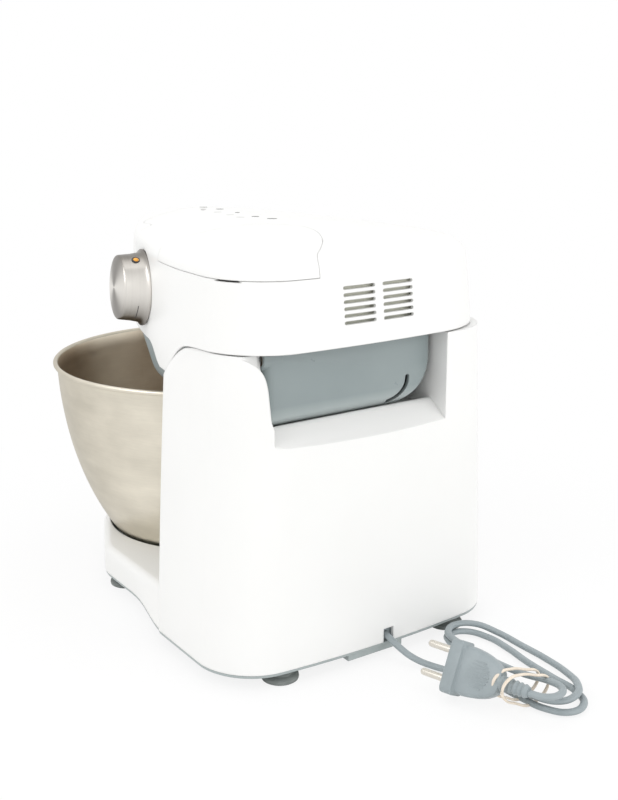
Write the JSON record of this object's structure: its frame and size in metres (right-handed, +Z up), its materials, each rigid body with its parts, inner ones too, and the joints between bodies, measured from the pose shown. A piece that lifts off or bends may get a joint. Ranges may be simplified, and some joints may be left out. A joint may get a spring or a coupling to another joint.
{
  "type": "stand mixer",
  "caption": "Tilt-head stand mixer with vented rear, side speed knob, belly between two shoulders, steel bowl, planetary drive and bundled mains cord.",
  "frame": {"origin": "middle of the machine's outline on the table, the free cord left out", "axes": "+X from the bowl to the vented rear, -Y to the speed knob's side, +Z up"},
  "size_m": [0.494, 0.242, 0.2895],
  "materials": {
    "white_plastic": "satin moulded",
    "grey_plastic": "fine grained",
    "dark_plastic": "moulded",
    "foot_rubber": "matt",
    "plated_steel": "zinc plated",
    "bowl_steel": "brushed",
    "bearing_bronze": "sintered",
    "knob_metal": "turned",
    "amber_lens": "clear gloss",
    "board_laminate": "lacquered",
    "motor_iron": "stacked sheet",
    "copper": "varnished wire",
    "cast_alloy": "as cast",
    "gear_plastic": "moulded",
    "belt_rubber": "matt",
    "cord_plastic": "smooth",
    "band_plastic": "smooth",
    "pin_nickel": "nickel plated"
  },
  "bodies": {
    "body": {"body_housing": "white_plastic", "base_plate": "grey_plastic", "rubber_feet": "foot_rubber", "base_screws": "plated_steel", "bowl_seat": "dark_plastic", "hinge_pins": "plated_steel", "cord_gland": "cord_plastic", "mains_cord": "cord_plastic", "cord_hank": "cord_plastic", "cord_bands": "band_plastic", "plug_body": "cord_plastic", "plug_pins": "pin_nickel"},
    "bowl": {"bowl": "bowl_steel", "bowl_collar": "bowl_steel"},
    "head": {"head_upper_housing": "white_plastic", "head_lower_housing": "grey_plastic", "hinge_bushes": "bearing_bronze", "catch_bar": "plated_steel", "speed_switch": "dark_plastic", "control_board": "board_laminate", "motor_stator": "motor_iron", "motor_windings": "copper", "motor_bracket": "cast_alloy", "motor_bearings": "plated_steel", "drive_belt": "belt_rubber", "gearbox_frame": "cast_alloy", "counter_bearings": "plated_steel", "hub_bearings": "plated_steel", "ring_gear": "gear_plastic", "head_screws": "plated_steel"},
    "corner_cover": {"high_speed_cover": "white_plastic"},
    "nose_cap": {"slow_speed_cover": "white_plastic"},
    "lever": {"release_lever": "grey_plastic", "latch_hook": "plated_steel", "latch_spring": "plated_steel"},
    "knob": {"speed_knob": "knob_metal", "knob_lens": "amber_lens", "knob_spindle": "plated_steel"},
    "motor_rotor": {"motor_shaft": "plated_steel", "motor_armature": "motor_iron", "cooling_fan": "dark_plastic", "drive_pulley": "cast_alloy", "high_speed_coupling": "dark_plastic"},
    "counter": {"driven_pulley": "cast_alloy", "counter_pinion": "plated_steel"},
    "carrier": {"planet_carrier": "cast_alloy", "hub_shaft": "plated_steel", "main_gear": "gear_plastic", "spindle_bush": "bearing_bronze"},
    "planet": {"planet_pinion": "gear_plastic", "tool_spindle": "plated_steel"}
  },
  "joints": [
    {"name": "head_tilt", "type": "hinge", "parent": "body", "child": "head", "pos_m": [0.153, 0, 0.219], "axis": [0, 1, 0], "range_deg": [0, 42]},
    {"name": "bowl_twist", "type": "hinge", "parent": "body", "child": "bowl", "pos_m": [-0.058, 0, 0.033], "axis": [0, 0, 1], "range_deg": [-28, 0]},
    {"name": "speed_knob", "type": "hinge", "parent": "head", "child": "knob", "pos_m": [0.016, -0.0897, 0.2445], "axis": [-0.2074, -0.9758, 0.0698], "range_deg": [-35, 230]},
    {"name": "release_lever", "type": "hinge", "parent": "body", "child": "lever", "pos_m": [0.132, 0, 0.185], "axis": [0, 1, 0], "range_deg": [0, 20], "stiffness_Nm_per_rad": 0.3, "springref_deg": -8.59},
    {"name": "corner_cover_lift", "type": "slide", "parent": "head", "child": "corner_cover", "axis": [0, 0, 1], "range_m": [0, 0.012]},
    {"name": "nose_cap_pull", "type": "slide", "parent": "head", "child": "nose_cap", "axis": [-1, 0, 0], "range_m": [0, 0.012]},
    {"name": "hub_spin", "type": "hinge", "parent": "head", "child": "carrier", "pos_m": [-0.058, 0, 0.215], "axis": [0, 0, 1], "continuous": true},
    {"name": "counter_spin", "type": "hinge", "parent": "head", "child": "counter", "pos_m": [-0.01425, 0, 0.24], "axis": [0, 0, 1], "continuous": true},
    {"name": "motor_spin", "type": "hinge", "parent": "head", "child": "motor_rotor", "pos_m": [0.101, -0.036, 0.21], "axis": [0, 0, 1], "continuous": true},
    {"name": "planet_spin", "type": "hinge", "parent": "carrier", "child": "planet", "pos_m": [-0.0805, 0, 0.2], "axis": [0, 0, 1], "continuous": true}
  ],
  "couplings": [
    {"joint": "hub_spin", "follows": "motor_spin", "ratio": -0.071429},
    {"joint": "counter_spin", "follows": "motor_spin", "ratio": 0.28571},
    {"joint": "planet_spin", "follows": "motor_spin", "ratio": 0.21429}
  ]
}
